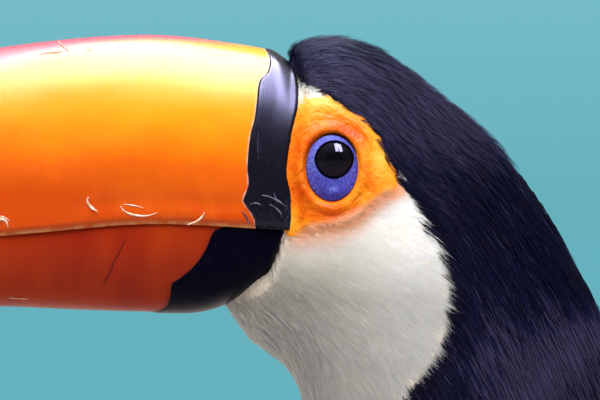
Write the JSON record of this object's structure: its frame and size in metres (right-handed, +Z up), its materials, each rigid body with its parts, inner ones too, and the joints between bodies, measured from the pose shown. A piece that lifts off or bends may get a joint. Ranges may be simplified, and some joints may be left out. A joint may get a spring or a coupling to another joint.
{
  "type": "toco toucan",
  "caption": "Life-size toco toucan standing at rest, with a huge orange bill, black body, white bib and bare orange face.",
  "frame": {"origin": "on the floor, under the middle of the bird's box", "axes": "+Z up, the bird faces -Y with its tail towards +Y, and its left side is +X"},
  "size_m": [0.1042, 0.4876, 0.311],
  "materials": {
    "plumage_black": "matte",
    "plumage_white": "matte",
    "bill_horn": "gloss",
    "eyelid_skin": "satin",
    "eyeball": "polished",
    "leg_scales": "satin",
    "claw_horn": "satin"
  },
  "bodies": {
    "root": {"bill_upper": "bill_horn", "bill_lower": "bill_horn", "head": "plumage_black", "neck": "plumage_black", "trunk": "plumage_black", "rump": "plumage_white", "tail": "plumage_black", "eye_left": "eyeball", "eyelids_left": "eyelid_skin", "thigh_left": "plumage_black", "wing_left": "plumage_black", "shank_left": "leg_scales", "toe_outer_front_left": "leg_scales", "claw_outer_front_left": "claw_horn", "toe_inner_front_left": "leg_scales", "claw_inner_front_left": "claw_horn", "toe_outer_rear_left": "leg_scales", "claw_outer_rear_left": "claw_horn", "toe_inner_rear_left": "leg_scales", "claw_inner_rear_left": "claw_horn", "eye_right": "eyeball", "eyelids_right": "eyelid_skin", "thigh_right": "plumage_black", "wing_right": "plumage_black", "shank_right": "leg_scales", "toe_outer_front_right": "leg_scales", "claw_outer_front_right": "claw_horn", "toe_inner_front_right": "leg_scales", "claw_inner_front_right": "claw_horn", "toe_outer_rear_right": "leg_scales", "claw_outer_rear_right": "claw_horn", "toe_inner_rear_right": "leg_scales", "claw_inner_rear_right": "claw_horn"}
  },
  "joints": []
}
